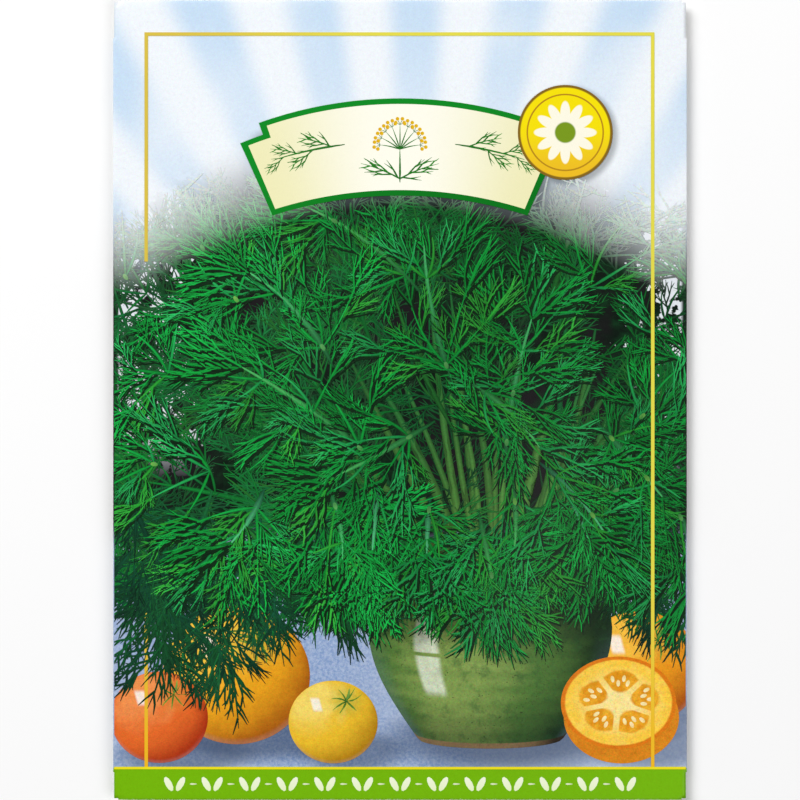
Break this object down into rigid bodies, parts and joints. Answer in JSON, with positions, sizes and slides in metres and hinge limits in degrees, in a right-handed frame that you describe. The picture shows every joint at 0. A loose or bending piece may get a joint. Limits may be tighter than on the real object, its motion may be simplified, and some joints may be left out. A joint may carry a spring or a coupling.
{
  "type": "seed packet",
  "caption": "Sealed flat paper packet of dill seeds, folded from one printed sheet with glued side flaps and a closing flap, softly bellied by the seed inside.",
  "frame": {"origin": "under the middle of the packet, on the surface that its back lies on", "axes": "+Y up the packet towards its closing flap, +Z from the back to the printed front, +X to the right as the front is seen"},
  "size_m": [0.0826, 0.115, 0.0044],
  "materials": {
    "printed_paper": "satin",
    "dry_glue": "satin",
    "seed_husk": "matte"
  },
  "bodies": {
    "root": {"envelope": "printed_paper", "side_glue_left": "dry_glue", "side_glue_right": "dry_glue", "top_flap_glue": "dry_glue", "seeds": "seed_husk"}
  },
  "joints": []
}
